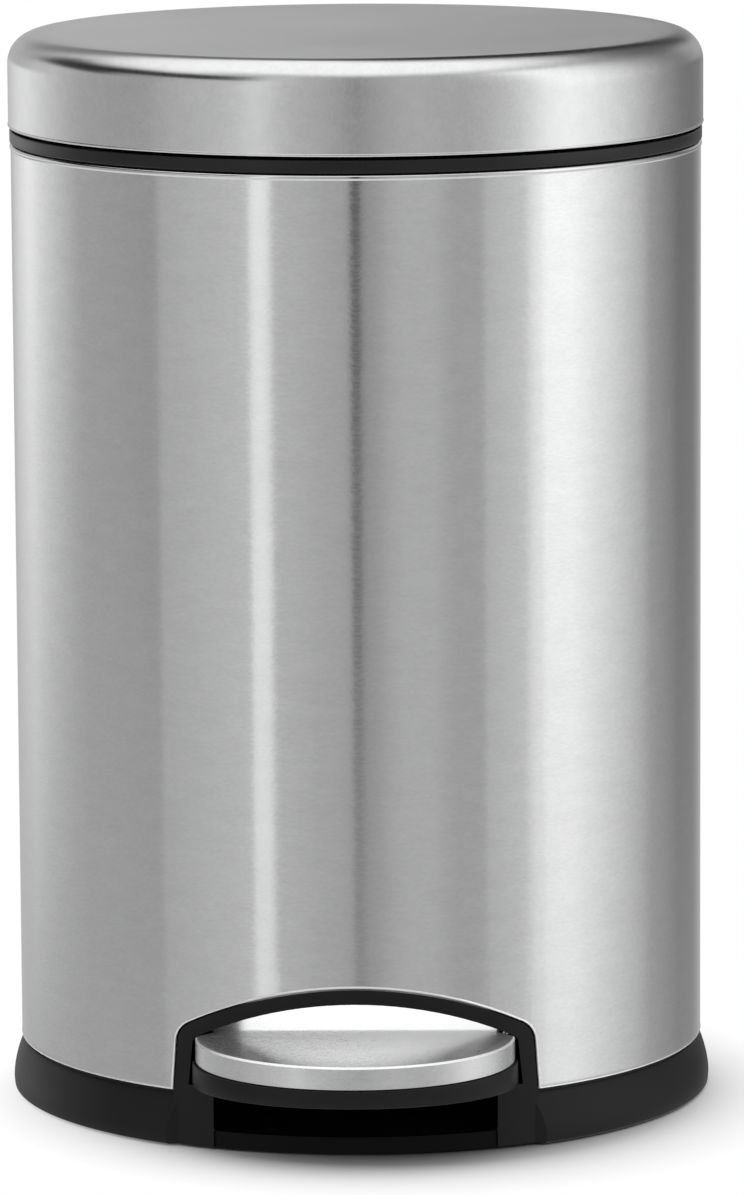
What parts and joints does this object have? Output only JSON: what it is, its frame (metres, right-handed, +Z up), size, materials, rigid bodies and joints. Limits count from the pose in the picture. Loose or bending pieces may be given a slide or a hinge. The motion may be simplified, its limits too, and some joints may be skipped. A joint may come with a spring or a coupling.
{
  "type": "pedal bin",
  "caption": "Round brushed steel pedal bin with a hinged steel lid, black rim and base, a half-round foot pedal in a front arch, and a lift-out inner bucket.",
  "frame": {"origin": "centre of the bounding box at floor level, the underside of the anti-slip ring; the body's own axis stands 8.45 mm behind it", "axes": "+Z up, the pedal towards -Y, the lid hinge towards +Y, +X to the right of someone facing the pedal"},
  "size_m": [0.1916, 0.2208, 0.29],
  "materials": {
    "brushed_steel": "satin, fine vertical brushing on the sleeve and long fine scratches on the lid",
    "black_plastic": "fine matt texture",
    "bucket_plastic": "smooth matt",
    "rubber": "matt",
    "plated_steel": "bright zinc plated"
  },
  "bodies": {
    "bin": {"body_shell": "brushed_steel", "top_rim": "black_plastic", "hinge_housing": "black_plastic", "housing_screw_left": "plated_steel", "housing_screw_right": "plated_steel", "hinge_pin": "plated_steel", "hinge_clip": "plated_steel", "base_moulding": "black_plastic", "anti_slip_ring": "rubber", "pedal_pivot_pin": "plated_steel", "pivot_clip": "plated_steel", "rear_channel": "black_plastic", "channel_screw_left": "plated_steel", "channel_screw_right": "plated_steel", "damper_cylinder": "plated_steel"},
    "lid": {"lid_shell": "brushed_steel", "lid_liner": "black_plastic", "lid_bumper_1": "rubber", "lid_bumper_2": "rubber", "lid_bumper_3": "rubber", "lid_bumper_4": "rubber"},
    "pedal": {"pedal_plate": "brushed_steel", "pedal_moulding": "black_plastic", "pedal_lever": "plated_steel", "lever_rivet_1": "plated_steel", "lever_rivet_2": "plated_steel", "rear_link_pin": "plated_steel", "link_clip": "plated_steel"},
    "lift_rod": {"lift_rod": "plated_steel", "rod_clip": "plated_steel"},
    "damper_rod": {"damper_plunger": "plated_steel", "damper_seal": "rubber"},
    "bucket": {"inner_bucket": "bucket_plastic"},
    "bail": {"bucket_bail": "plated_steel", "bail_grip": "bucket_plastic"}
  },
  "joints": [
    {"name": "lid_open", "type": "hinge", "parent": "bin", "child": "lid", "pos_m": [0, 0.10645, 0.262], "axis": [-1, 0, 0], "range_deg": [0, 75]},
    {"name": "pedal_press", "type": "hinge", "parent": "bin", "child": "pedal", "pos_m": [0, -0.01755, 0.018], "axis": [1, 0, 0], "range_deg": [0, 9.5]},
    {"name": "rod_swing", "type": "hinge", "parent": "pedal", "child": "lift_rod", "pos_m": [0, 0.09445, 0.0086], "axis": [1, 0, 0], "range_deg": [-9.5, 0]},
    {"name": "damper_slide", "type": "slide", "parent": "bin", "child": "damper_rod", "axis": [0, 0, 1], "range_m": [0, 0.0186]},
    {"name": "bucket_lift", "type": "slide", "parent": "bin", "child": "bucket", "axis": [0, 0, 1], "range_m": [0, 0.005]},
    {"name": "bail_swing", "type": "hinge", "parent": "bucket", "child": "bail", "pos_m": [0, 0.00245, 0.2677], "axis": [-1, 0, 0], "range_deg": [0, 5]}
  ],
  "couplings": [
    {"joint": "pedal_press", "follows": "lid_open", "ratio": 0.126},
    {"joint": "rod_swing", "follows": "lid_open", "ratio": -0.126},
    {"joint": "damper_slide", "follows": "lid_open", "m_per_rad": 0.014146}
  ]
}
